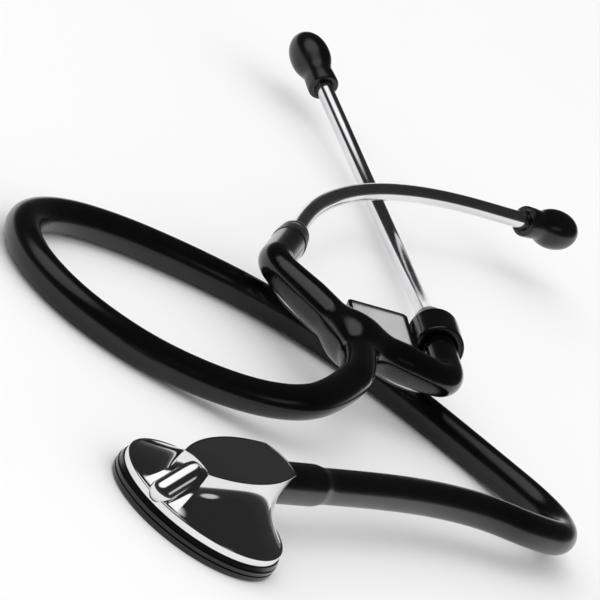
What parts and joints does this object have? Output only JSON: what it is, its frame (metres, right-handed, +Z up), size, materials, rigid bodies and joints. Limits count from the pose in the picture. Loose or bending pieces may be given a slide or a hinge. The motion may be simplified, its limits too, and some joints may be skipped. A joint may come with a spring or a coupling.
{
  "type": "stethoscope",
  "caption": "Single-head acoustic stethoscope: polished bell-backed chestpiece, black tube, sprung yoke, crossed steel ear tubes with soft tips, and a name tag.",
  "frame": {"origin": "centre of the chestpiece's rim, where it stands on the table", "axes": "+Z up from the table; +Y away from the chestpiece towards the ear tips; the stethoscope lies flat, chestpiece face down"},
  "size_m": [0.1725, 0.3902, 0.0253],
  "materials": {
    "polished_steel": "polished",
    "dark_inlay": "polished",
    "rim_rubber": "satin",
    "diaphragm_sheet": "satin",
    "surround_rubber": "satin",
    "stem_steel": "polished",
    "ring_brass": "satin",
    "tube_pvc": "glossy",
    "yoke_pvc": "glossy",
    "spring_steel": "satin",
    "cuff_plastic": "satin",
    "cuff_metal": "satin",
    "ear_steel": "polished",
    "tip_silicone": "satin",
    "core_plastic": "satin",
    "tag_plastic": "glossy",
    "tag_paper": "matte",
    "tag_clear": "clear"
  },
  "bodies": {
    "tubing": {"main_tube": "tube_pvc", "tube_end_sleeve": "tube_pvc", "stem": "stem_steel", "stem_retaining_ring": "ring_brass", "yoke_stem": "yoke_pvc"},
    "chestpiece": {"chestpiece_body": "polished_steel", "top_inlay": "dark_inlay", "non_chill_rim": "rim_rubber", "diaphragm_surround": "surround_rubber"},
    "diaphragm": {"diaphragm": "diaphragm_sheet"},
    "name_tag": {"tag_clip": "tag_plastic", "tag_frame": "tag_plastic", "tag_label": "tag_paper", "tag_window": "tag_clear"},
    "left_arm": {"left_yoke_arm": "yoke_pvc", "left_cuff": "cuff_plastic", "left_cuff_ring": "cuff_metal", "left_cuff_dome": "cuff_plastic", "left_spring_sheath": "yoke_pvc", "left_spring_blade": "spring_steel"},
    "left_ear_tube_body": {"left_ear_tube": "ear_steel"},
    "left_tip_body": {"left_ear_tip": "tip_silicone", "left_ear_tip_core": "core_plastic"},
    "right_arm": {"right_yoke_arm": "yoke_pvc", "right_cuff": "cuff_plastic", "right_cuff_ring": "cuff_metal", "right_cuff_dome": "cuff_plastic", "right_spring_sheath": "yoke_pvc", "right_spring_blade": "spring_steel"},
    "right_ear_tube_body": {"right_ear_tube": "ear_steel"},
    "right_tip_body": {"right_ear_tip": "tip_silicone", "right_ear_tip_core": "core_plastic"}
  },
  "joints": [
    {"name": "chestpiece_swivel", "type": "hinge", "parent": "tubing", "child": "chestpiece", "pos_m": [0, 0, 0.0135], "axis": [0.4617, 0.887, 0], "continuous": true},
    {"name": "diaphragm_press", "type": "slide", "parent": "chestpiece", "child": "diaphragm", "axis": [0, 0, 1], "range_m": [0, 0.0004], "stiffness_N_per_m": 3000},
    {"name": "left_arm_spread", "type": "hinge", "parent": "tubing", "child": "left_arm", "pos_m": [0.0065, 0.146, 0.0184], "axis": [0, 0, 1], "range_deg": [0, 12], "stiffness_Nm_per_rad": 1.6},
    {"name": "right_arm_spread", "type": "hinge", "parent": "tubing", "child": "right_arm", "pos_m": [0.0065, 0.146, 0.0184], "axis": [0, 0, -1], "range_deg": [0, 12], "stiffness_Nm_per_rad": 1.6},
    {"name": "left_ear_tube_turn", "type": "hinge", "parent": "left_arm", "child": "left_ear_tube_body", "pos_m": [-0.023, 0.2, 0.0155], "axis": [0.0279, -0.9996, 0], "range_deg": [0, 35]},
    {"name": "right_ear_tube_turn", "type": "hinge", "parent": "right_arm", "child": "right_ear_tube_body", "pos_m": [0.0206, 0.21, 0.0152], "axis": [-0.1139, 0.9696, -0.2164], "range_deg": [-30, 6]},
    {"name": "left_ear_tip_pull", "type": "slide", "parent": "left_ear_tube_body", "child": "left_tip_body", "axis": [0.6208, 0.7837, 0.0224], "range_m": [0, 0.014]},
    {"name": "right_ear_tip_pull", "type": "slide", "parent": "right_ear_tube_body", "child": "right_tip_body", "axis": [-0.6428, 0.7497, 0.1574], "range_m": [0, 0.014]},
    {"name": "name_tag_turn", "type": "hinge", "parent": "right_arm", "child": "name_tag", "pos_m": [0.02509, 0.18897, 0.01813], "axis": [-0.3624, 0.9319, 0.0122], "range_deg": [-3, 110]}
  ]
}
